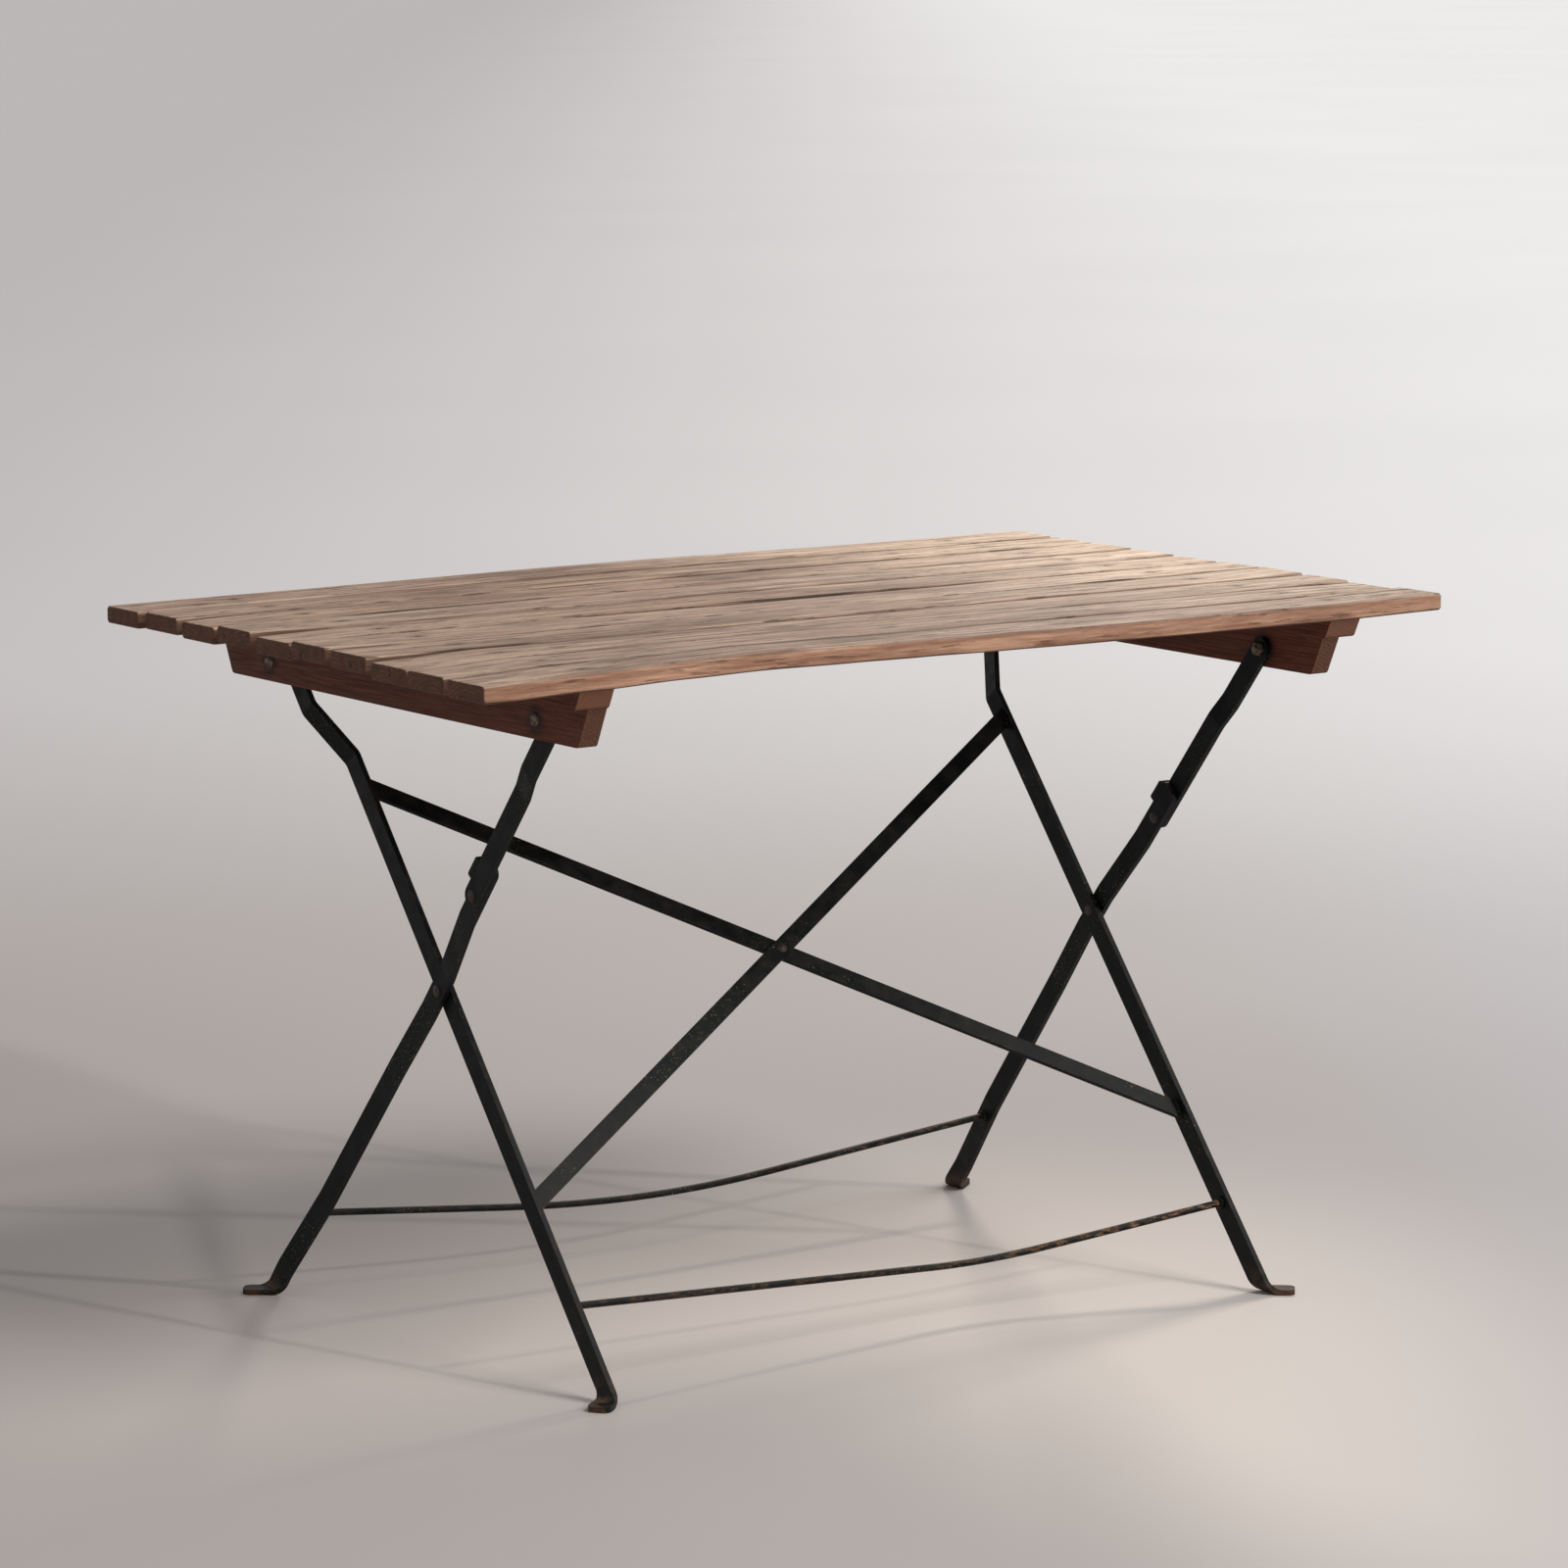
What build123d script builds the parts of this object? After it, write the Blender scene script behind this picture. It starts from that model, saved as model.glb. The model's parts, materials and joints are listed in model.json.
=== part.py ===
from build123d import *
import math
import os

# Folding slatted table, open and standing. Millimetres, +Z up, X along the slats.
# Origin: middle of the table on the floor. All pivots turn about X.

# --- table top -------------------------------------------------------------
TOP_L = 1180.0            # slat length
TOP_Z = 745.0             # height of the top surface
SLATS = 10
SLAT_W = 66.0
SLAT_T = 18.0
SLAT_PITCH = 76.2
SLAT_R = 3.0              # eased long edges

# --- rails under the slats ---------------------------------------------------
RAIL_IN = 444.0           # inner face of ledger and batten, from the middle
LEDGER_W = 39.0
LEDGER_T = 20.0
LEDGER_HALF = 373.0       # half length along the upper edge
LEDGER_RAKE = 10.0        # shortening of the lower edge
BATTEN_W = 21.5
BATTEN_H = 40.0
BATTEN_HALF = 360.0
BATTEN_RAKE = 19.0

# --- pivots (Y, Z) -----------------------------------------------------------
PIVOT_Y = 262.0           # leg A hangs at +PIVOT_Y, links at -PIVOT_Y
PIVOT_Z = 687.0
CROSS_Z = 372.0           # scissor pivot, Y = 0
KNUCKLE_S = 147.5         # from the scissor pivot up to the knuckle

# --- flat bar, rods, rivets --------------------------------------------------
BAR_W = 24.0
BAR_T = 6.0
X_TOP = 440.5             # bar centre beside the batten
X_A = 413.1               # leg A below its joggle
X_LINK = 436.0            # link below its joggle
X_KNUCKLE = 429.5         # leg B beside the link
X_CROSS = 421.0           # leg B at the scissor pivot
X_ANKLE = 446.0           # leg B just above its foot
ANKLE_S = 444.0           # where it straightens, from the scissor pivot
SPLAY_X = 434.5           # leg B where its lower part starts to splay out
SPLAY_S = 330.0
FOOT_OUT = 22.0           # foot tab on the floor, from the end of its bend
BEND_R = 8.0              # inner radius of the foot bend
JOGGLE_R = 12.0
ROD_R = 3.75
ROD_A_S = 371.0
ROD_B_S = 353.0
ROD_A_PEAK = (130.0, 55.0, 505.0)    # corner of the bowed rod: X, height, radius
ROD_B_PEAK = (-53.0, 50.4, 1406.0)
BRACE_W = 19.0
BRACE_T = 5.0
BRACE_TOP_S = -250.5
BRACE_LOW_S = 253.6
PIN_R = 4.0
RUN = 0.05                # radial running clearance of a turning pin
GAP = 0.4                 # axial play between bodies that turn
LUG_S0 = 161.0             # stop lug of leg B, from and to
LUG_S1 = 187.0
LUG_T = 6.5
LEG_B_TOP_S = 192.0

LEG = math.hypot(PIVOT_Y, PIVOT_Z - CROSS_Z)      # pivot to scissor, both legs
UY = PIVOT_Y / LEG
UZ = (PIVOT_Z - CROSS_Z) / LEG
FOOT_MID_R = BEND_R + BAR_T / 2
FOOT_Z = BAR_T / 2 + FOOT_MID_R                   # the bar is straight down to here
FOOT_S = (CROSS_Z - FOOT_Z) / UZ                  # the same, from the scissor pivot
BAR_END_S = FOOT_S + BAR_W / 2 * UY / UZ + 2.0    # bar drawn long, then cut level
SIDES = {"left": -1, "right": 1}


def leg_plane(lean):
    """Sketch plane of a leg: first axis down the leg, second axis +X.

    lean is -1 for leg A (foot to the front) and +1 for leg B.
    """
    return Plane(
        origin=(0, 0, CROSS_Z),
        x_dir=(0, lean * UY, -UZ),
        z_dir=(0, -UZ, -lean * UY),
    )


def side_plane(lean):
    """Plane of the bar's broad face: first axis down the leg, normal along X."""
    return Plane(origin=(0, 0, CROSS_Z), x_dir=(0, lean * UY, -UZ), z_dir=(1, 0, 0))


def at_side(shape, sx):
    """Parts are drawn at +X; the left one is the mirror image."""
    return shape if sx > 0 else mirror(shape, about=Plane.YZ)


def write(name, *solids):
    """One node: a single solid, or a group of separate solids."""
    solids = [s for item in solids for s in item.solids()]
    shape = solids[0] if len(solids) == 1 else Compound(children=solids)
    export_step(shape, f"parts/{name}.step")


def strip(knots, radii):
    """Outline of a bent strip, seen edge on, from its centre line."""
    left, right = [], []
    count = len(knots)
    for i, (s, x) in enumerate(knots):
        dirs = []
        if i > 0:
            dirs.append(math.atan2(x - knots[i - 1][1], s - knots[i - 1][0]))
        if i < count - 1:
            dirs.append(math.atan2(knots[i + 1][1] - x, knots[i + 1][0] - s))
        mid = sum(dirs) / len(dirs)
        reach = BAR_T / 2 / math.cos((dirs[-1] - dirs[0]) / 2)
        left.append((s - math.sin(mid) * reach, x + math.cos(mid) * reach))
        right.append((s + math.sin(mid) * reach, x - math.cos(mid) * reach))
    outline = left + right[::-1]
    face = make_face(Polyline(*outline, close=True))
    for i, radius in radii.items():
        a, b = knots[i - 1], knots[i + 1]
        p = knots[i]
        turn = (p[0] - a[0]) * (b[1] - p[1]) - (p[1] - a[1]) * (b[0] - p[0])
        inner, outer = (left[i], right[i]) if turn > 0 else (right[i], left[i])
        for corner, r in ((inner, radius), (outer, radius + BAR_T)):
            vertex = face.vertices().sort_by_distance(Vector(*corner, 0))[0]
            face = fillet(vertex, r)
    return face


def bar(lean, knots, radii):
    """Bent flat bar: the strip outline carried across the bar's width."""
    placed = leg_plane(lean) * strip(knots, radii)
    return extrude(placed, amount=BAR_W / 2, both=True)


def round_end(solid, lean, s, toward):
    """Rounds a bar's end about a point of its centre line."""
    half = BAR_W / 2
    cap = Pos(s + toward * half, 0) * Rectangle(2 * half, BAR_W + 2)
    cap -= Pos(s, 0) * Circle(half)
    cutter = extrude(side_plane(lean) * cap, amount=600)
    return solid - cutter


def pin_hole(lean, s, radius):
    """Cylinder along X through a bar, for cutting."""
    return extrude(side_plane(lean) * Pos(s, 0) * Circle(radius), amount=600)


def turned(points, y, z):
    """Solid of revolution about the X line through (y, z); points are (x, r)."""
    profile = make_face(Polyline(*[(x, r) for x, r in points], close=True))
    spun = revolve(profile, Axis.X)
    return Pos(0, y, z) * spun


def leg_point(lean, s):
    return lean * UY * s, CROSS_Z - UZ * s


def domed_pin(x_in, x_out, lean, s, head_r=6.5, head_h=1.6, r=PIN_R):
    """Rivet along X: low domed heads outside x_in and x_out."""
    points = [
        (x_in - head_h, 0), (x_in - head_h, head_r * 0.35),
        (x_in - head_h * 0.6, head_r * 0.78), (x_in, head_r), (x_in, r),
        (x_out, r), (x_out, head_r), (x_out + head_h * 0.6, head_r * 0.78),
        (x_out + head_h, head_r * 0.35), (x_out + head_h, 0),
    ]
    return turned(points, *leg_point(lean, s))


# --- slats and their screws --------------------------------------------------
os.makedirs("parts", exist_ok=True)

slat_y = [(i - (SLATS - 1) / 2) * SLAT_PITCH for i in range(SLATS)]
slat_z = TOP_Z - SLAT_T / 2
rail_x = RAIL_IN + LEDGER_W / 2


def wood_screw(x, y, z_top, length, r=2.0):
    """Countersunk screw, head down into the wood by a hair."""
    points = [
        (0, 0), (r * 2.0, 0), (r * 2.0, -0.5), (r, -3.0),
        (r, 6.0 - length), (0, -length),
    ]
    profile = make_face(Plane.XZ * Polyline(*points, close=True))
    return Pos(x, y, z_top) * revolve(profile, Axis.Z)


def screw_hole(x, y, z_top, length, r=2.0):
    """Countersunk pilot hole that clears the screw by five hundredths."""
    g = 0.05
    points = [
        (0, 2), (r * 2.0 + g, 2), (r * 2.0 + g, -0.5 - g), (r + g, -3.0 - g),
        (r + g, 6.0 - length), (0, -length - 0.2),
    ]
    profile = make_face(Plane.XZ * Polyline(*points, close=True))
    return Pos(x, y, z_top) * revolve(profile, Axis.Z)


screw_z = TOP_Z - 0.6
screw_len = SLAT_T + 13.0
for i, y in enumerate(slat_y):
    slat = Pos(0, y, slat_z) * Box(TOP_L, SLAT_W, SLAT_T)
    slat = fillet(slat.edges().filter_by(Axis.X), SLAT_R)
    for sx in (-1, 1):
        slat -= screw_hole(sx * rail_x, y, screw_z, screw_len)
    write(f"slat_{i + 1:02d}", slat)

# --- ledgers and battens -----------------------------------------------------
batten_x = RAIL_IN + BATTEN_W / 2
ledger_top = TOP_Z - SLAT_T
batten_top = ledger_top - LEDGER_T
batten_low = batten_top - BATTEN_H
rail_screw_y = [-228.6, 0.0, 228.6]
rail_screw_z = ledger_top - 0.6
rail_screw_len = 45.0
bolt_y = [PIVOT_Y, -PIVOT_Y]


def rail(x_in, width, z_top, height, half, rake):
    """Rail along Y with both ends cut back toward its lower edge."""
    outline = Polyline(
        (-half, z_top), (half, z_top), (half - rake, z_top - height),
        (-half + rake, z_top - height), close=True,
    )
    face = Plane.YZ * make_face(outline)
    body = Pos(x_in, 0, 0) * extrude(face, amount=width)
    low = body.edges().filter_by(Axis.X).group_by(Axis.Z)[0]
    return fillet(low, 6.0)


for side, sx in SIDES.items():
    ledger = rail(RAIL_IN, LEDGER_W, ledger_top, LEDGER_T, LEDGER_HALF, LEDGER_RAKE)
    batten = rail(RAIL_IN, BATTEN_W, batten_top, BATTEN_H, BATTEN_HALF, BATTEN_RAKE)
    slat_screws, rail_screws = [], []
    for y in slat_y:
        ledger -= screw_hole(rail_x, y, screw_z, screw_len)
        slat_screws.append(at_side(wood_screw(rail_x, y, screw_z, screw_len), sx))
    for y in rail_screw_y:
        hole = screw_hole(batten_x, y, rail_screw_z, rail_screw_len)
        ledger -= hole
        batten -= hole
        screw = wood_screw(batten_x, y, rail_screw_z, rail_screw_len)
        rail_screws.append(at_side(screw, sx))
    for y in bolt_y:
        batten -= Pos(batten_x, y, PIVOT_Z) * Rot(0, 90, 0) * Cylinder(PIN_R + 0.05, 60)
    write(f"ledger_{side}", at_side(ledger, sx))
    write(f"batten_{side}", at_side(batten, sx))
    write(f"slat_screws_{side}", *slat_screws)
    write(f"batten_screws_{side}", *rail_screws)

# --- pivot bolts through the battens -----------------------------------------
bar_in = X_TOP - BAR_T / 2
bolt_out = RAIL_IN + BATTEN_W
nut_out = bar_in - GAP
NUT_T = 5.0
NUT_AF = 13.0
for side, sx in SIDES.items():
    for name, y in (("a", PIVOT_Y), ("link", -PIVOT_Y)):
        head = [
            (nut_out - NUT_T - 2.5, 0), (nut_out - NUT_T - 2.5, PIN_R - 0.8),
            (nut_out - NUT_T - 1.7, PIN_R), (bolt_out, PIN_R), (bolt_out, 7.5),
            (bolt_out + 2.2, 6.2), (bolt_out + 4.0, 3.0), (bolt_out + 4.0, 0),
        ]
        bolt = turned(head, y, PIVOT_Z)
        hexagon = RegularPolygon(NUT_AF / 2, 6, major_radius=False) - Circle(PIN_R)
        nut = extrude(Plane.YZ * Rot(0, 0, 11) * hexagon, amount=NUT_T)
        nut = Pos(nut_out - NUT_T, y, PIVOT_Z) * nut
        write(f"pivot_bolt_{name}_{side}", at_side(bolt, sx))
        write(f"pivot_nut_{name}_{side}", at_side(nut, sx))

# --- frame A: inner legs, feet to the front ----------------------------------
A, B = -1, 1
leg_a_knots = [
    (-LEG - BAR_W / 2, X_TOP), (-349.0, X_TOP), (-284.0, X_A), (BAR_END_S, X_A),
]
leg_a_radii = {1: JOGGLE_R, 2: JOGGLE_R}
FOOT_CORNER = 8.0
FOOT_STEPS = 9


def foot_section(lean, x_mid, degrees):
    """Level slice of the bar, turned part way round the foot bend."""
    turn = math.radians(degrees)
    x = x_mid + FOOT_MID_R * (1 - math.cos(turn))
    y = lean * UY / UZ * (CROSS_Z - FOOT_Z + FOOT_MID_R * turn)
    z = FOOT_Z - FOOT_MID_R * math.sin(turn)
    half_y = BAR_W / 2 / UZ
    corners = []
    for across, wide in ((-1, -1), (1, -1), (1, 1), (-1, 1)):
        t = across * BAR_T / 2
        corners.append((x + t * math.cos(turn), y + wide * half_y, z + t * math.sin(turn)))
    return Wire.make_polygon([Vector(*c) for c in corners], close=True)


def add_foot(solid, lean, x_mid):
    """Bar cut level, then bent outward over a level line into a tab flat on the floor."""
    solid -= Pos(0, 0, FOOT_Z - 500) * Box(3000, 3000, 1000)
    turns = [90.0 * i / FOOT_STEPS for i in range(FOOT_STEPS + 1)]
    bend = Solid.make_loft([foot_section(lean, x_mid, a) for a in turns], True)
    x = x_mid + FOOT_MID_R
    y = lean * UY / UZ * (CROSS_Z - FOOT_Z + FOOT_MID_R * math.pi / 2)
    half_y, half_w = BAR_W / 2 / UZ, BAR_W / 2
    tip_x, tip_y = x + UZ * FOOT_OUT, y + lean * UY * FOOT_OUT
    outline = [
        (x, y - half_y), (x, y + half_y),
        (tip_x - lean * UY * half_w, tip_y + UZ * half_w),
        (tip_x + lean * UY * half_w, tip_y - UZ * half_w),
    ]
    face = make_face(Polyline(*outline, close=True))
    tips = [v for v in face.vertices() if v.X > x + 0.1]
    tab = extrude(fillet(tips, FOOT_CORNER), amount=BAR_T)
    return solid + bend + tab


leg_a = bar(A, leg_a_knots, leg_a_radii)
leg_a = round_end(leg_a, A, -LEG, -1)
leg_a = add_foot(leg_a, A, X_A)
leg_a -= pin_hole(A, -LEG, PIN_R + RUN)
leg_a -= pin_hole(A, 0, PIN_R)

brace_half = X_A - BAR_T / 2
brace_len = math.hypot(2 * brace_half, BRACE_LOW_S - BRACE_TOP_S)
brace_mid = (BRACE_LOW_S + BRACE_TOP_S) / 2
brace_turn = math.degrees(math.atan2(2 * brace_half, BRACE_LOW_S - BRACE_TOP_S))
face_a = leg_plane(A)
braces = []
for turn, offset in ((brace_turn, -BRACE_T / 2), (-brace_turn, BRACE_T / 2)):
    flat = Pos(brace_mid, 0, offset) * Rot(0, 0, turn) * Box(brace_len + 60, BRACE_W, BRACE_T)
    trim = Box(2000, 2 * brace_half, 400)
    braces.append(face_a * (flat & trim))
rivet_hole = face_a * Pos(brace_mid, 0, 0) * Cylinder(3.0, 60)
braces = [b - rivet_hole for b in braces]
rivet_profile = [
    (0, -BRACE_T - 2.5), (3.0, -BRACE_T - 2.2), (6.0, -BRACE_T), (3.0, -BRACE_T),
    (3.0, BRACE_T), (6.0, BRACE_T), (3.0, BRACE_T + 2.2), (0, BRACE_T + 2.5),
]
brace_rivet = revolve(make_face(Plane.XZ * Polyline(*rivet_profile, close=True)), Axis.Z)
brace_rivet = face_a * Pos(brace_mid, 0, 0) * brace_rivet


def bowed_rod(lean, s, half, peak, toward):
    """Round rod across the frame, bent out of the frame plane at one soft corner."""
    x, height, radius = peak
    plane = leg_plane(lean)
    line = plane * FilletPolyline(
        (s, -half, 0), (s, x, toward * height), (s, half, 0), radius=radius
    )
    start = Plane(origin=line @ 0, z_dir=line % 0)
    return sweep(start * Circle(ROD_R), path=line)


def rod_welds(lean, s, half):
    """Bead around each rod end, against the leg's inner face."""
    beads = []
    for sx in (-1, 1):
        points = [(half - 4.5, ROD_R), (half - 2.5, 6.3), (half, 7.2), (half, ROD_R)]
        bead = turned(points, *leg_point(lean, s))
        beads.append(at_side(bead, sx))
    return beads


rod_a_half = X_A - BAR_T / 2
rod_a = bowed_rod(A, ROD_A_S, rod_a_half, ROD_A_PEAK, -1)
rod_a &= Box(2 * rod_a_half, 3000, 3000)
welds_a = [w - rod_a for w in rod_welds(A, ROD_A_S, rod_a_half)]

BEAD_R = 3.2
BEAD_L = 17.0
brace_beads = []
for s in (BRACE_TOP_S, BRACE_LOW_S):
    for sx in (-1, 1):
        first = (s < 0) == (sx < 0)
        mid = -BRACE_T / 2 if first else BRACE_T / 2
        for offset in (mid - BRACE_T / 2, mid + BRACE_T / 2):
            bead = Rot(0, 90, 0) * Cylinder(BEAD_R, BEAD_L)
            bead += [Pos(e * BEAD_L / 2, 0, 0) * Sphere(BEAD_R) for e in (-1, 1)]
            bead = face_a * Pos(s, sx * brace_half, offset) * bead
            bead &= Box(2 * brace_half, 3000, 3000)
            brace_beads.append(bead - braces[0] - braces[1])

for side, sx in SIDES.items():
    write(f"leg_a_{side}", at_side(leg_a, sx))
write("brace_1", braces[0])
write("brace_2", braces[1])
write("brace_rivet", brace_rivet)
write("brace_welds", *brace_beads)
write("rod_a", rod_a)
write("rod_a_welds", *welds_a)

# --- frame B: outer legs, feet to the back -----------------------------------
leg_b_knots = [
    (-LEG_B_TOP_S, X_KNUCKLE), (-112.0, X_KNUCKLE), (-26.0, X_CROSS), (30.0, X_CROSS),
    (120.0, 426.5), (SPLAY_S, SPLAY_X), (ANKLE_S, X_ANKLE), (BAR_END_S, X_ANKLE),
]
leg_b_radii = {1: 60.0, 2: 60.0, 3: 60.0, 4: 200.0, 5: 200.0, 6: 150.0}
leg_b = bar(B, leg_b_knots, leg_b_radii)
leg_b = add_foot(leg_b, B, X_ANKLE)


def round_top_corner(solid, radius, side):
    """Rounds leg B's upper end on its front (1) or back (-1) corner."""
    y, z = leg_point(B, -LEG_B_TOP_S)
    corner = Vector(X_KNUCKLE, y - side * UZ * BAR_W / 2, z - side * UY * BAR_W / 2)
    edges = [e for e in solid.edges().filter_by(Axis.X) if (e.center() - corner).length < 1.0]
    return fillet(edges, radius)


lug_x0 = X_KNUCKLE - BAR_T / 2
lug_x1 = X_LINK + BAR_T / 2
lug_n = BAR_W / 2
lug_base = Rectangle(LUG_S1 - LUG_S0, lug_x1 - lug_x0)
lug_plate = Pos(-(LUG_S0 + LUG_S1) / 2, (lug_x0 + lug_x1) / 2) * lug_base
lug_foot = Pos(-(LUG_S0 + LUG_S1) / 2, X_KNUCKLE) * Rectangle(LUG_S1 - LUG_S0, BAR_T)
plane_b = leg_plane(B)
lug = extrude(plane_b.offset(-lug_n - GAP - LUG_T) * lug_plate, amount=LUG_T)
lug += extrude(plane_b.offset(-lug_n - GAP - 1.0) * lug_foot, amount=GAP + 2.0)
lug = fillet(lug.edges().filter_by(Axis.X).filter_by(lambda e: e.length > BAR_T + 2), 2.0)
leg_b = round_top_corner(leg_b, 9.0, 1)
leg_b = round_top_corner(leg_b, 2.5, -1)
leg_b += lug
leg_b -= pin_hole(B, 0, PIN_R + RUN)
leg_b -= pin_hole(B, -KNUCKLE_S, PIN_R)

rod_b_half = SPLAY_X + (ROD_B_S - SPLAY_S) / (ANKLE_S - SPLAY_S) * (X_ANKLE - SPLAY_X)
rod_b_half -= BAR_T / 2 + 0.3
rod_b = bowed_rod(B, ROD_B_S, rod_b_half, ROD_B_PEAK, 1)
rod_b -= at_side(leg_b, 1) + at_side(leg_b, -1)
welds_b = [w - rod_b - leg_b - at_side(leg_b, -1) for w in rod_welds(B, ROD_B_S, rod_b_half)]

for side, sx in SIDES.items():
    write(f"leg_b_{side}", at_side(leg_b, sx))
write("rod_b", rod_b)
write("rod_b_welds", *welds_b)

# --- links from the battens to the knuckles ----------------------------------
link_knots = [
    (-LEG - BAR_W / 2, X_TOP), (-328.0, X_TOP), (-300.0, X_LINK),
    (-KNUCKLE_S + BAR_W / 2, X_LINK),
]
link = bar(B, link_knots, {1: 40.0, 2: 40.0})
link = round_end(link, B, -LEG, -1)
link = round_end(link, B, -KNUCKLE_S, 1)
link -= pin_hole(B, -LEG, PIN_R + RUN)
link -= pin_hole(B, -KNUCKLE_S, PIN_R)
for side, sx in SIDES.items():
    write(f"link_{side}", at_side(link, sx))

# --- rivets and washers of the scissor and the knuckle -----------------------
a_in = X_A - BAR_T / 2
a_out = X_A + BAR_T / 2
b_in = X_CROSS - BAR_T / 2
b_out = X_CROSS + BAR_T / 2
scissor = domed_pin(a_in, b_out + GAP, A, 0)
washer = turned(
    [(a_out, PIN_R), (a_out, 10.0), (b_in - GAP, 10.0), (b_in - GAP, PIN_R)],
    *leg_point(A, 0),
)
knuckle_y, knuckle_z = leg_point(B, -KNUCKLE_S)
link_in = X_LINK - BAR_T / 2
link_out = X_LINK + BAR_T / 2
kb_in = X_KNUCKLE - BAR_T / 2
kb_out = X_KNUCKLE + BAR_T / 2
outer_half = turned(
    [(link_in, 0), (link_in, PIN_R), (link_out, PIN_R), (link_out, 6.5),
     (link_out + 1.0, 5.1), (link_out + 1.6, 2.3), (link_out + 1.6, 0)],
    knuckle_y, knuckle_z,
)
inner_half = turned(
    [(kb_in - 1.6, 0), (kb_in - 1.6, 2.3), (kb_in - 1.0, 5.1), (kb_in, 6.5),
     (kb_in, PIN_R), (kb_out, PIN_R), (kb_out, 0)],
    knuckle_y, knuckle_z,
)
for side, sx in SIDES.items():
    write(f"scissor_rivet_{side}", at_side(scissor, sx))
    write(f"scissor_washer_{side}", at_side(washer, sx))
    write(f"knuckle_rivet_outer_{side}", at_side(outer_half, sx))
    write(f"knuckle_rivet_inner_{side}", at_side(inner_half, sx))
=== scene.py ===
"""Looks of the slatted folding table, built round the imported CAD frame."""

import json
import math

import bmesh
import bpy
from mathutils import Matrix, Vector, noise

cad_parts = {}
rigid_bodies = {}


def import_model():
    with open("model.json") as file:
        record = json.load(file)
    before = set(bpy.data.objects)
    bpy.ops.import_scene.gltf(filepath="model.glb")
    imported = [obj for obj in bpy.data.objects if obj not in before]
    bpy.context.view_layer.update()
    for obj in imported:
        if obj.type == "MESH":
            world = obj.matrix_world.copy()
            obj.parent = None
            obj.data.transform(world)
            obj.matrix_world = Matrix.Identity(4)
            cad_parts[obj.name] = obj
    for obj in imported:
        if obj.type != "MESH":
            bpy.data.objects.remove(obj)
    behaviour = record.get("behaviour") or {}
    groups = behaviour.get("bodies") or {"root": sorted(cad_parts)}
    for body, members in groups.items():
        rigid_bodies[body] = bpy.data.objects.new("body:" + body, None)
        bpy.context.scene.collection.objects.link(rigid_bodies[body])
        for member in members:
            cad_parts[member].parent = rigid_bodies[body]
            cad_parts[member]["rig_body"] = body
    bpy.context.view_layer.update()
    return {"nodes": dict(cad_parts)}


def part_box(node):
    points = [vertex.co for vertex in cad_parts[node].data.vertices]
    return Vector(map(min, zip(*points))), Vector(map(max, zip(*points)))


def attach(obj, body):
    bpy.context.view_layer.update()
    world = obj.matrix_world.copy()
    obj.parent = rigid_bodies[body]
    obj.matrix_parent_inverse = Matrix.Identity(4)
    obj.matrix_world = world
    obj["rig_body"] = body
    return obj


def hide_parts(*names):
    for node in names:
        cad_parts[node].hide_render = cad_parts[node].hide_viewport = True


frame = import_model()
nodes = frame["nodes"]
MM = 0.001


def srgb(r, g, b):
    """8-bit display colour as linear RGBA."""
    def lin(c):
        c /= 255
        return c / 12.92 if c <= 0.04045 else ((c + 0.055) / 1.055) ** 2.4
    return (lin(r), lin(g), lin(b), 1.0)


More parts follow.
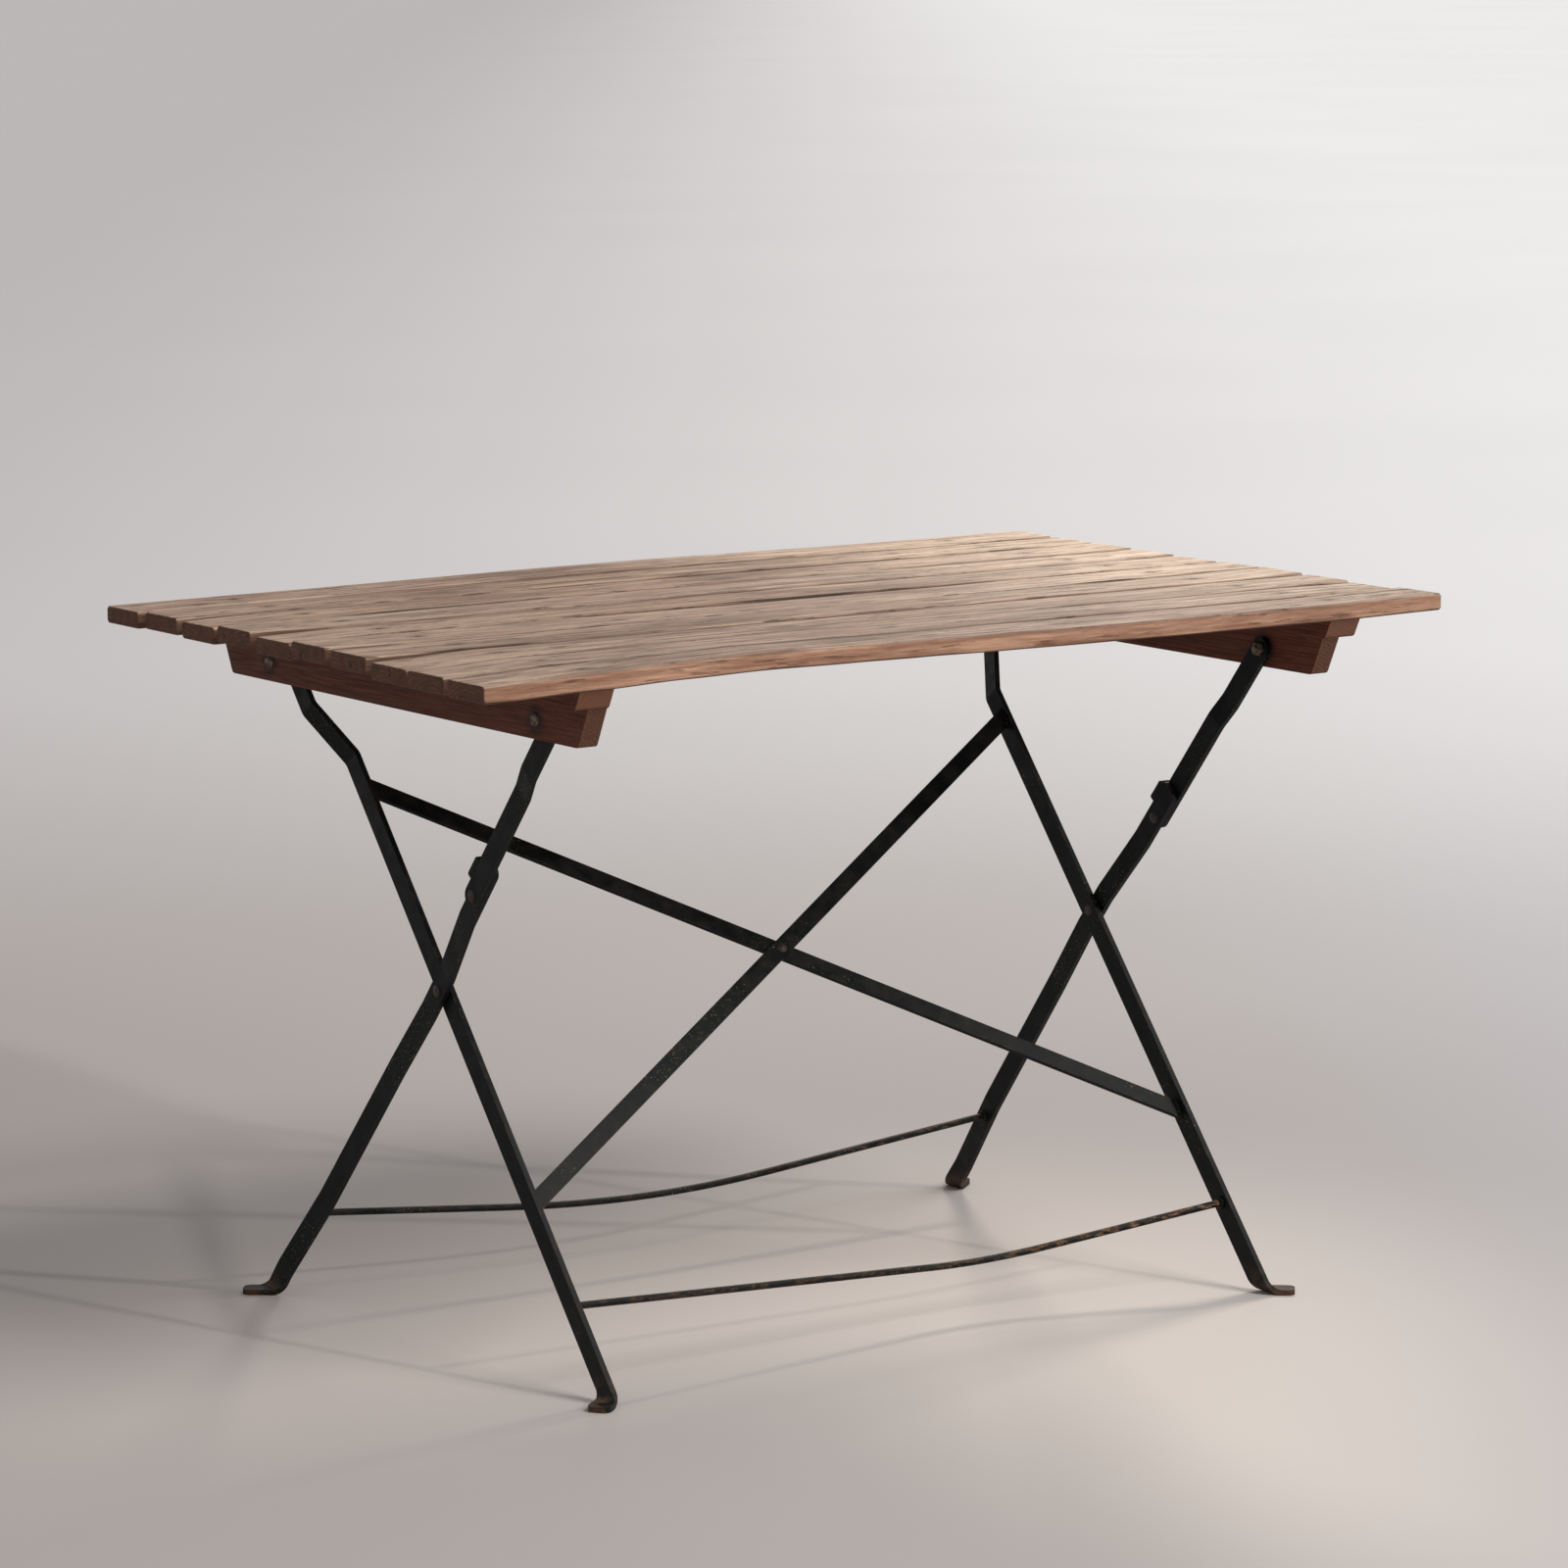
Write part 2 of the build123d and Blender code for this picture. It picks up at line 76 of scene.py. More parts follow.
# --- node graph helper -------------------------------------------------------
class Graph:
    """A material whose Principled shader is fed by small node helpers."""

    def __init__(self, name):
        self.mat = bpy.data.materials.new(name)
        self.mat.use_nodes = True
        self.tree = self.mat.node_tree
        self.tree.nodes.clear()
        self.out = self.add("ShaderNodeOutputMaterial")
        self.bsdf = self.add("ShaderNodeBsdfPrincipled")
        self.link(self.bsdf.outputs[0], self.out.inputs["Surface"])
        coord = self.add("ShaderNodeTexCoord")
        self.pos = coord.outputs["Object"]
        self.normal = coord.outputs["Normal"]

    def add(self, kind, **props):
        node = self.tree.nodes.new(kind)
        for key, value in props.items():
            setattr(node, key, value)
        return node

    def link(self, source, target):
        self.tree.links.new(source, target)

    def put(self, socket, value):
        if isinstance(value, bpy.types.NodeSocket):
            self.link(value, socket)
        else:
            socket.default_value = value

    def math(self, op, a, b=0.0, clamp=False):
        node = self.add("ShaderNodeMath", operation=op, use_clamp=clamp)
        self.put(node.inputs[0], a)
        self.put(node.inputs[1], b)
        return node.outputs[0]

    def vmath(self, op, a, b=(0, 0, 0)):
        node = self.add("ShaderNodeVectorMath", operation=op)
        self.put(node.inputs[0], a)
        self.put(node.inputs[1], b)
        return node.outputs["Value" if op in ("LENGTH", "DOT_PRODUCT") else "Vector"]

    def split(self, vector):
        node = self.add("ShaderNodeSeparateXYZ")
        self.link(vector, node.inputs[0])
        return node.outputs[0], node.outputs[1], node.outputs[2]

    def join(self, x=0.0, y=0.0, z=0.0):
        node = self.add("ShaderNodeCombineXYZ")
        for socket, value in zip(node.inputs, (x, y, z)):
            self.put(socket, value)
        return node.outputs[0]

    def noise(self, where, stretch, detail=3.0, rough=0.55, bend=0.0):
        node = self.add("ShaderNodeTexNoise")
        self.link(self.vmath("MULTIPLY", where, stretch), node.inputs["Vector"])
        node.inputs["Scale"].default_value = 1.0
        node.inputs["Detail"].default_value = detail
        node.inputs["Roughness"].default_value = rough
        node.inputs["Distortion"].default_value = bend
        return node.outputs[0]

    def step(self, value, low, high, to_low=0.0, to_high=1.0):
        node = self.add("ShaderNodeMapRange", interpolation_type="SMOOTHSTEP")
        for socket, item in zip(node.inputs, (value, low, high, to_low, to_high)):
            self.put(socket, item)
        return node.outputs[0]

    def mix(self, factor, a, b, blend="MIX"):
        node = self.add("ShaderNodeMix", data_type="RGBA", blend_type=blend)
        self.put(node.inputs[0], factor)
        self.put(node.inputs[6], a)
        self.put(node.inputs[7], b)
        return node.outputs[2]

    def attribute(self, name, kind="Fac"):
        node = self.add("ShaderNodeAttribute", attribute_name=name)
        return node.outputs[kind]

    def bump(self, height, distance, strength=1.0, onto=None):
        node = self.add("ShaderNodeBump")
        node.inputs["Strength"].default_value = strength
        node.inputs["Distance"].default_value = distance
        self.link(height, node.inputs["Height"])
        if onto is not None:
            self.link(onto, node.inputs["Normal"])
        return node.outputs[0]

    def edge(self, radius, low, high):
        """1 where the surface turns within radius, 0 on flats."""
        bevel = self.add("ShaderNodeBevel", samples=6)
        bevel.inputs["Radius"].default_value = radius
        flat = self.add("ShaderNodeNewGeometry").outputs["Normal"]
        turn = self.vmath("DOT_PRODUCT", bevel.outputs[0], flat)
        return self.step(turn, high, low)

    def finish(self, colour, rough, normal=None, **constants):
        self.put(self.bsdf.inputs["Base Color"], colour)
        self.put(self.bsdf.inputs["Roughness"], rough)
        if normal is not None:
            self.link(normal, self.bsdf.inputs["Normal"])
        for name, value in constants.items():
            self.put(self.bsdf.inputs[name.replace("_", " ")], value)
        return self.mat


# --- wood --------------------------------------------------------------------
SCREW_X = sum(v.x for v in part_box("slat_screws_right")) / 2     # from the middle


def slat_wood():
    g = Graph("slat_wood_worn")
    seed = g.attribute("seed")
    pith = g.attribute("pith", "Vector")
    p = g.vmath("ADD", g.pos, g.join(g.math("MULTIPLY", seed, 3.71),
                                     g.math("MULTIPLY", seed, 1.93),
                                     g.math("MULTIPLY", seed, 5.17)))
    x, y, z = g.split(g.pos)
    nx, ny, nz = g.split(g.normal)
    top = g.step(nz, 0.25, 0.80)
    end = g.step(g.math("ABSOLUTE", nx), 0.45, 0.8)

    # growth rings round each board's own pith, bent slowly along the board
    off = g.vmath("MULTIPLY", g.vmath("SUBTRACT", g.pos, pith), (0, 1, 1))
    radius = g.vmath("LENGTH", off)
    sway = g.noise(p, (1.7, 9, 9), 2.0)
    ring = g.math("ADD", g.math("MULTIPLY", radius, 2 * math.pi / 0.0042),
                  g.math("MULTIPLY", sway, 16.0))
    ring = g.math("MULTIPLY_ADD", g.math("SINE", ring), 0.5)
    ring.node.inputs[2].default_value = 0.5
    late = g.step(ring, 0.35, 0.98)

    fibre = g.noise(p, (15, 620, 620), 4.0, 0.65)
    band = g.noise(p, (5.5, 85, 85), 6.0, 0.74)
    streak = g.noise(p, (6.5, 125, 125), 6.0, 0.68)
    dash = g.noise(p, (20, 210, 210), 4.0, 0.64)
    grain = g.noise(p, (2.4, 260, 260), 5.0, 0.70)
    crack = g.noise(p, (2.2, 105, 105), 2.0, 0.45)
    patch = g.noise(g.pos, (3.1, 12, 12), 5.0, 0.62, 0.4)
    broad = g.noise(p, (1.1, 5, 5), 2.0)
    mid = g.step(g.math("ABSOLUTE", g.math("ADD", x, 0.02)), 0.58, 0.12)

    dark_streak = g.step(streak, 0.50, 0.64)
    dark_dash = g.step(dash, 0.57, 0.63)
    split_line = g.step(crack, 0.665, 0.700)
    dirt = g.math("MULTIPLY", g.step(patch, 0.46, 0.64),
                  g.math("MULTIPLY_ADD", mid, 0.80), True)
    dirt.node.inputs[1].links[0].from_node.inputs[2].default_value = 0.18

    # top: silvery tan, warmer where it is less weathered
    top_col = g.mix(g.step(broad, 0.35, 0.68), srgb(172, 145, 130), srgb(168, 137, 117))
    top_col = g.mix(g.step(band, 0.54, 0.34, 0.0, 0.75), top_col, srgb(200, 175, 151))
    # painted light: the top is lighter to the right and back, and a little lighter towards the left end
    painted_light_mask = g.step(g.math("ADD", x, g.math("MULTIPLY", y, 0.6)), 0.0, 0.62, 0.0, 0.70)
    painted_light_mask = g.math("ADD", painted_light_mask, g.step(x, -0.05, -0.5, 0.0, 0.26))
    top_col = g.mix(painted_light_mask, top_col, srgb(226, 200, 175))
    top_col = g.mix(g.step(band, 0.48, 0.66, 0.0, 0.55), top_col, srgb(116, 92, 78))
    top_col = g.mix(g.step(fibre, 0.42, 0.62, 0.0, 0.30), top_col, srgb(108, 84, 70))
    top_col = g.mix(g.step(grain, 0.45, 0.58, 0.0, 0.46), top_col, srgb(104, 78, 64))
    top_col = g.mix(g.math("MULTIPLY", late, 0.16), top_col, srgb(100, 76, 62))
    top_col = g.mix(g.math("MULTIPLY", dark_streak, 0.50), top_col, srgb(88, 64, 50))
    top_col = g.mix(g.math("MULTIPLY", dirt, 0.62), top_col, srgb(96, 73, 59))
    top_col = g.mix(g.math("MULTIPLY", dark_dash, 0.78), top_col, srgb(60, 41, 31))

    # sides: orange brown with fine lines
    side_col = g.mix(g.step(band, 0.36, 0.62), srgb(190, 150, 124), srgb(140, 101, 79))
    side_col = g.mix(g.math("MULTIPLY", g.step(fibre, 0.42, 0.64), 0.4), side_col,
                     srgb(128, 88, 66))
    side_col = g.mix(g.math("MULTIPLY", late, 0.18), side_col, srgb(118, 80, 60))
    side_col = g.mix(g.math("MULTIPLY", dark_streak, 0.4), side_col, srgb(104, 72, 55))
    side_col = g.mix(g.math("MULTIPLY", dark_dash, 0.6), side_col, srgb(84, 54, 40))
    # painted shade: slat sides facing the gaps are darkened; only the front of the first slat and the
    # back of the last are in the open
    outward = g.math("MULTIPLY", ny, g.math("SUBTRACT", seed, 5.5))
    painted_gap_shade = g.step(outward, 4.2, 3.7)
    side_col = g.mix(g.math("MULTIPLY", painted_gap_shade, 0.78), side_col, srgb(66, 41, 29))

    # end grain: rings and pores, dirty
    pores = g.noise(p, (60, 900, 900), 2.0)
    end_col = g.mix(g.math("MULTIPLY", late, 0.6), srgb(110, 71, 49), srgb(72, 43, 30))
    end_col = g.mix(g.step(pores, 0.45, 0.65), end_col, srgb(62, 41, 30))
    grime = g.noise(p, (40, 90, 90), 3.0)
    end_col = g.mix(g.step(grime, 0.42, 0.62), end_col, srgb(80, 50, 36))

    colour = g.mix(top, side_col, top_col)
    colour = g.mix(end, colour, end_col)
    colour = g.mix(g.math("MULTIPLY", split_line, 0.9), colour, srgb(52, 36, 27))

    # knots: a few small dark ones
    knot = g.add("ShaderNodeTexVoronoi", feature="F1")
    g.link(g.vmath("MULTIPLY", p, (4.2, 15, 15)), knot.inputs["Vector"])
    knot.inputs["Scale"].default_value = 1.0
    rare = g.math("GREATER_THAN", g.split(knot.outputs["Color"])[0], 0.80)
    spot = g.math("MULTIPLY", g.step(knot.outputs["Distance"], 0.13, 0.05), rare)
    colour = g.mix(g.math("MULTIPLY", spot, 0.8), colour, srgb(74, 50, 38))

    # iron stain round each screw
    cy = g.split(pith)[0]
    dx = g.math("SUBTRACT", g.math("ABSOLUTE", x), SCREW_X)
    away = g.vmath("LENGTH", g.join(g.math("MULTIPLY", dx, 0.55), g.math("SUBTRACT", y, cy)))
    stain = g.math("MULTIPLY", g.step(away, 0.011, 0.003), g.step(nz, 0.2, 0.8))
    colour = g.mix(g.math("MULTIPLY", stain, 0.55), colour, srgb(66, 54, 48))

    worn = g.edge(0.004, 0.80, 0.97)
    worn = g.math("MULTIPLY", worn, g.step(g.noise(p, (9, 60, 60), 3.0), 0.45, 0.65))
    colour = g.mix(g.math("MULTIPLY", worn, 0.35), colour, srgb(206, 176, 150))

    height = g.math("ADD", g.math("MULTIPLY", fibre, 0.5), g.math("MULTIPLY", ring, 0.14))
    height = g.math("SUBTRACT", height, g.math("MULTIPLY", dark_dash, 0.35))
    height = g.math("SUBTRACT", height, g.math("MULTIPLY", dark_streak, 0.3))
    height = g.math("SUBTRACT", height, g.math("MULTIPLY", split_line, 1.0))
    rough = g.step(fibre, 0.3, 0.75, 0.60, 0.86)
    return g.finish(colour, rough, g.bump(height, 0.0006, 0.75), Specular_IOR_Level=0.32)


PIVOTS = [(0.262, 0.687), (-0.262, 0.687)]


def rail_wood():
    g = Graph("rail_wood_worn")
    x, y, z = g.split(g.pos)
    nx, ny, nz = g.split(g.normal)
    side = g.math("SIGN", x)
    p = g.vmath("ADD", g.pos, g.join(g.math("MULTIPLY", side, 1.7),
                                     g.math("MULTIPLY", side, 3.1),
                                     g.math("GREATER_THAN", z, 0.707)))
    off = g.vmath("LENGTH", g.join(g.math("SUBTRACT", g.math("ABSOLUTE", x), 0.42), 0.0,
                                   g.math("SUBTRACT", z, 0.615)))
    sway = g.noise(p, (10, 2.1, 10), 2.0)
    ring = g.math("ADD", g.math("MULTIPLY", off, 2 * math.pi / 0.0036),
                  g.math("MULTIPLY", sway, 14.0))
    ring = g.math("MULTIPLY_ADD", g.math("SINE", ring), 0.5)
    ring.node.inputs[2].default_value = 0.5
    late = g.step(ring, 0.3, 0.95)
    fibre = g.noise(p, (640, 15, 640), 4.0, 0.65)
    streak = g.noise(p, (150, 4.5, 150), 4.0, 0.6)
    pore = g.step(g.noise(p, (470, 26, 470), 2.0), 0.60, 0.70)
    broad = g.noise(p, (7, 3, 7), 3.0)
    end = g.step(g.math("ABSOLUTE", ny), 0.55, 0.85)

    colour = g.mix(g.step(fibre, 0.3, 0.7), srgb(114, 60, 37), srgb(84, 42, 27))
    colour = g.mix(g.math("MULTIPLY", late, 0.30), colour, srgb(78, 43, 30))
    colour = g.mix(g.math("MULTIPLY", g.step(streak, 0.50, 0.70), 0.6), colour, srgb(66, 37, 27))
    colour = g.mix(g.math("MULTIPLY", pore, 0.6), colour, srgb(46, 28, 20))
    colour = g.mix(g.math("MULTIPLY", g.step(broad, 0.5, 0.7), 0.4), colour, srgb(70, 48, 37))
    end_col = g.mix(g.math("MULTIPLY", late, 0.5), srgb(104, 66, 46), srgb(74, 46, 33))
    end_col = g.mix(g.step(g.noise(p, (900, 60, 900), 2.0), 0.45, 0.62), end_col,
                    srgb(68, 43, 31))
    # painted light: the ledger's end faces are lighter than the batten's ends
    painted_light_ledger_end = g.step(z, 0.7065, 0.7075)
    end_col = g.mix(g.math("MULTIPLY", painted_light_ledger_end, 0.40), end_col, srgb(136, 92, 67))
    colour = g.mix(end, colour, end_col)

    # dark halo where the bolts bleed into the batten
    near = None
    for py, pz in PIVOTS:
        d = g.vmath("LENGTH", g.join(0.0, g.math("SUBTRACT", y, py), g.math("SUBTRACT", z, pz)))
        near = d if near is None else g.math("MINIMUM", near, d)
    near = g.math("ADD", near, g.math("MULTIPLY", g.math("SUBTRACT", broad, 0.5), 0.02))
    halo = g.step(near, 0.021, 0.008)
    colour = g.mix(g.math("MULTIPLY", halo, 0.75), colour, srgb(40, 28, 23))

    worn = g.edge(0.003, 0.80, 0.97)
    worn = g.math("MULTIPLY", worn, g.step(g.noise(p, (60, 9, 60), 3.0), 0.42, 0.62))
    colour = g.mix(g.math("MULTIPLY", worn, 0.35), colour, srgb(150, 104, 76))
    height = g.math("ADD", g.math("MULTIPLY", fibre, 0.5), g.math("MULTIPLY", ring, 0.22))
    height = g.math("SUBTRACT", height, g.math("MULTIPLY", pore, 0.4))
    rough = g.step(fibre, 0.3, 0.75, 0.55, 0.82)
    return g.finish(colour, rough, g.bump(height, 0.0006, 0.7), Specular_IOR_Level=0.3)


# --- iron --------------------------------------------------------------------
def iron_paint(name, wear=1.0, rod=False):
    g = Graph(name)
    x, y, z = g.split(g.pos)
    nz = g.split(g.normal)[2]
    coat = g.noise(g.pos, (9, 9, 9), 4.0, 0.6)
    blotch = g.noise(g.pos, (46, 46, 46), 4.0, 0.6)
    speck = g.noise(g.pos, (420, 420, 420), 3.0, 0.6)
    colour = g.mix(g.step(coat, 0.38, 0.66), srgb(15, 17, 19), srgb(9, 20, 19))
    colour = g.mix(g.math("MULTIPLY", g.step(blotch, 0.50, 0.72), 0.5), colour, srgb(27, 25, 23))
    dust = g.math("MULTIPLY", g.step(nz, 0.3, 0.95), g.step(blotch, 0.35, 0.7))
    colour = g.mix(g.math("MULTIPLY", dust, 0.16), colour, srgb(110, 100, 90))

    edge = g.edge(0.0016, 0.72, 0.96)
    edge = g.math("MULTIPLY", edge, g.step(blotch, 0.44, 0.62))
    chip = g.math("MULTIPLY", g.step(speck, 0.62, 0.68), g.step(coat, 0.48, 0.62))
    bare = g.math("MAXIMUM", g.math("MULTIPLY", edge, 0.55 * wear), chip)
    if rod:
        spot = g.noise(g.pos, (60, 240, 240), 3.0, 0.6)
        ends = g.step(x, 0.02, 0.34, 0.25, 1.0)
        front = g.step(y, -0.05, -0.2, 0.5, 1.0)
        amount = g.math("MULTIPLY", g.math("MULTIPLY", ends, front),
                        g.step(spot, 0.47, 0.60))
        bare = g.math("MAXIMUM", bare, amount)
    rusty = g.mix(g.step(speck, 0.38, 0.62), srgb(96, 60, 40), srgb(142, 112, 84))
    colour = g.mix(g.math("MULTIPLY", bare, 0.8), colour, rusty)
    low = g.math("MULTIPLY", g.step(z, 0.035, 0.002), g.step(blotch, 0.40, 0.62))
    colour = g.mix(g.math("MULTIPLY", low, 0.7), colour, srgb(92, 68, 54))

    height = g.math("SUBTRACT", g.math("ADD", g.math("MULTIPLY", blotch, 0.9),
                                       g.math("MULTIPLY", speck, 0.16)),
                    g.math("MULTIPLY", bare, 0.22))
    rough = g.math("ADD", g.step(blotch, 0.3, 0.7, 0.44, 0.60), g.math("MULTIPLY", bare, 0.25))
    return g.finish(colour, rough, g.bump(height, 0.0005, 0.6), Specular_IOR_Level=0.14)


def bare_metal(name, light, dark, rust, amount, metal):
    """Dull fastener: metal with tarnish and rust in patches."""
    g = Graph(name)
    blotch = g.noise(g.pos, (160, 160, 160), 4.0, 0.6)
    speck = g.noise(g.pos, (900, 900, 900), 2.0, 0.6)
    colour = g.mix(g.step(blotch, 0.35, 0.65), light, dark)
    spots = g.step(g.math("ADD", blotch, g.math("MULTIPLY", speck, 0.25)), 0.70 - amount, 0.82 - amount)
    colour = g.mix(spots, colour, rust)
    edge = g.edge(0.0012, 0.6, 0.95)
    colour = g.mix(g.math("MULTIPLY", edge, 0.3), colour, light)
    rough = g.math("ADD", g.step(blotch, 0.3, 0.7, 0.38, 0.55), g.math("MULTIPLY", spots, 0.28))
    g.put(g.bsdf.inputs["Metallic"], g.math("MULTIPLY", g.math("SUBTRACT", 1.0, spots), metal))
    return g.finish(colour, rough, g.bump(g.math("ADD", blotch, speck), 0.0002, 0.5))


slat_mat = slat_wood()
rail_mat = rail_wood()
paint = iron_paint("iron_paint_worn")
rod_paint = iron_paint("rod_paint_worn", 1.4, rod=True)
bolt_mat = bare_metal("bolt_steel_dull", srgb(128, 116, 102), srgb(86, 76, 67),
                      srgb(84, 58, 43), 0.12, 0.55)
screw_mat = bare_metal("screw_steel_rusty", srgb(92, 78, 66), srgb(66, 54, 46),
                       srgb(70, 48, 36), 0.22, 0.4)
rivet_mat = bare_metal("rivet_iron_rusty", srgb(60, 52, 48), srgb(30, 28, 27),
                       srgb(64, 44, 35), 0.12, 0.35)


# --- worn slats --------------------------------------------------------------
SLATS = 10
# height of each slat's left and right tip, its arch between the ledgers, and
# how far its ends run past the CAD length, all in mm, front slat first
SLAT_SHAPE = [
    (-3.2, 1.2, 0.6, 3.4, 0.5), (-2.8, -1.0, 1.2, 2.2, -0.6), (-3.6, 0.2, 0.4, -1.4, 0.8),
    (0.4, 1.3, 0.8, -0.8, -1.2), (1.8, 0.2, -0.5, 0.8, 1.0), (-2.0, -0.8, 0.9, -1.8, 0.9),
    (1.8, -0.3, 1.2, 0.0, 0.6), (-1.8, 0.3, 0.6, -1.0, -0.8), (0.2, -0.4, 1.5, 0.6, 0.6),
    (-0.6, 0.4, 2.4, 4.6, -1.0),
]
# extra rise of the front slat, (x, mm), as it has sprung between its screws
FRONT_RISE = [(-0.59, 0.0), (-0.4675, 0.0), (-0.36, 3.0), (-0.27, 4.3), (-0.17, 3.2),
              (-0.08, 2.3), (0.02, 1.0), (0.12, 0.3), (0.25, 0.0), (0.59, 0.0)]


def ease(t):
    t = min(1.0, max(0.0, t))
    return t * t * (3 - 2 * t)


def along(table, x):
    for (xa, a), (xb, b) in zip(table, table[1:]):
        if x <= xb:
            return a + (b - a) * ease((x - xa) / (xb - xa))
    return table[-1][1]


def spread(low, high, step):
    n = max(1, round((high - low) / step))
    return [low + (high - low) * i / n for i in range(n + 1)]


def profile(w, t, r_top, r_low):
    """Closed section of a board: (y, z, corner) with corner 1 in the middle of an arc."""
    pts = []
    flat = sorted(set([round(v, 6) for v in spread(-w + r_top, w - r_top, 0.0052)]
                      + [round(v, 6) for v in spread(-0.006, 0.006, 0.001)]))
    pts += [(v, t, 0.0) for v in flat]
    for sy, r, cz, a0 in ((1, r_top, t - r_top, 90), (1, r_low, -t + r_low, 0)):
        for k in range(1, 6):
            a = math.radians(a0 - 90 * k / 6)
            pts.append((sy * (w - r) + r * math.cos(a), cz + r * math.sin(a),
                        math.sin(math.pi * k / 6)))
        if a0 == 90:
            pts += [(w, v, 0.0) for v in spread(cz, -t + r_low, 0.003)]
    pts += [(v, -t, 0.0) for v in spread(w - r_low, -w + r_low, -0.007)]
    for r, cz, a0 in ((r_low, -t + r_low, 270), (r_top, t - r_top, 180)):
        for k in range(1, 6):
            a = math.radians(a0 - 90 * k / 6)
            pts.append((-w + r + r * math.cos(a), cz + r * math.sin(a),
                        math.sin(math.pi * k / 6)))
        if a0 == 270:
            pts += [(-w, v, 0.0) for v in spread(cz, t - r_top, 0.003)]
    return pts


def worn_slat(index):
    """Slat as a warped board with rubbed edges and a dimple round each screw head."""
    name = f"slat_{index + 1:02d}"
    lo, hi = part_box(name)
    cy, cz = (lo.y + hi.y) / 2, (lo.z + hi.z) / 2
    w, t = (hi.y - lo.y) / 2 + 0.9 * MM, (hi.z - lo.z) / 2
    tip_l, tip_r, arch, out_l, out_r = SLAT_SHAPE[index]
    seed = index + 1.0
    x0, x1 = lo.x - out_l * MM, hi.x + out_r * MM
    section = profile(w, t, 2.4 * MM, 2.2 * MM)
    xs = spread(x0 + 0.003, x1 - 0.003, 0.011)
    for sx in (-SCREW_X, SCREW_X):
        xs = [v for v in xs if abs(v - sx) > 0.0075] + spread(sx - 0.006, sx + 0.006, 0.001)
    xs.sort()
    nose = [(0.0, 0.0013), (0.0003, 0.0006), (0.0010, 0.0002)]
    rings = ([(x0 + a, inset) for a, inset in nose] + [(v, 0.0) for v in xs]
             + [(x1 - a, inset) for a, inset in reversed(nose)])

    bm = bmesh.new()
    loops = []
    for x, inset in rings:
        loop = []
        past = abs(x) - SCREW_X
        lift = (tip_l if x < 0 else tip_r) * ease(past / 0.13) if past > 0 else 0.0
        if past < 0:
            lift += arch * math.cos(x / SCREW_X * math.pi / 2) ** 2
        if index == 0:
            lift += along(FRONT_RISE, x)
        for y, z, corner in section:
            rub = 0.5 + noise.noise(Vector((x * 14, y * 40, seed * 7.3)))
            deep = noise.noise(Vector((x * 45, y * 60 + 5, seed * 3.1)))
            tip = ease((abs(x) - 0.555) / 0.035)
            cut = corner * (0.45 * max(0.0, rub) + 0.5 * max(0.0, deep) + 0.9 * tip) * MM
            k = 1 - cut / math.hypot(y, z)
            yy, zz = y * k, z * k
            yy -= math.copysign(min(inset, abs(yy) * 0.5), yy) if inset else 0.0
            zz -= math.copysign(min(inset, abs(zz) * 0.5), zz) if inset else 0.0
            drift = noise.noise(Vector((x * 2.3, seed * 11.0, 0.0))) * 0.55
            drift += noise.noise(Vector((x * 12, math.copysign(1, y) * 9, seed * 5.0))) * 0.22
            bow = 0.5 + noise.noise(Vector((x * 9, y * 30, seed * 13.0))) * 0.30
            on_top = 1.0 if z > t - 0.0005 else 0.0
            skin = on_top * (noise.noise(Vector((x * 9, y * 55, seed * 2.0))) * 0.22
                             + noise.noise(Vector((x * 30, y * 260, seed))) * 0.10)
            gap = math.hypot(abs(x) - SCREW_X, y)
            dimple = on_top * 0.75 * ease((0.0058 - gap) / 0.0022)
            near_screw = ease((abs(abs(x) - SCREW_X) - 0.004) / 0.02)
            dz = lift + skin * near_screw - dimple
            dz -= on_top * bow * 0.25 * (y / w) ** 2
            loop.append(bm.verts.new((x, cy + yy + drift * MM, cz + zz + dz * MM)))
        loops.append(loop)
    for a, b in zip(loops, loops[1:]):
        for i in range(len(a)):
            j = (i + 1) % len(a)
            bm.faces.new((a[i], a[j], b[j], b[i]))
    for loop in (loops[0], loops[-1]):
        centre = bm.verts.new(sum((v.co for v in loop), Vector()) / len(loop))
        inner = [bm.verts.new(centre.co.lerp(v.co, 0.55)) for v in loop]
        for i in range(len(loop)):
            j = (i + 1) % len(loop)
            bm.faces.new((loop[i], loop[j], inner[j], inner[i]))
            bm.faces.new((inner[i], inner[j], centre))
    bmesh.ops.recalc_face_normals(bm, faces=bm.faces)
    mesh = bpy.data.meshes.new("worn_" + name)
    bm.to_mesh(mesh)
    bm.free()
    n = len(mesh.vertices)
    mesh.attributes.new("seed", "FLOAT", "POINT").data.foreach_set("value", [seed] * n)
    turn = noise.noise(Vector((seed * 4.7, 0.3, 0.7)))
    pith = (cy, cy + 0.06 * turn, cz - 0.045 - 0.04 * abs(turn))
    mesh.attributes.new("pith", "FLOAT_VECTOR", "POINT").data.foreach_set("vector", pith * n)
    mesh.shade_smooth()
    obj = bpy.data.objects.new("worn_" + name, mesh)
    bpy.context.scene.collection.objects.link(obj)
    mesh.materials.append(slat_mat)
    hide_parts(name)
    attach(obj, frame_body(name))


def frame_body(node):
    return nodes[node]["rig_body"]


for i in range(SLATS):
    worn_slat(i)


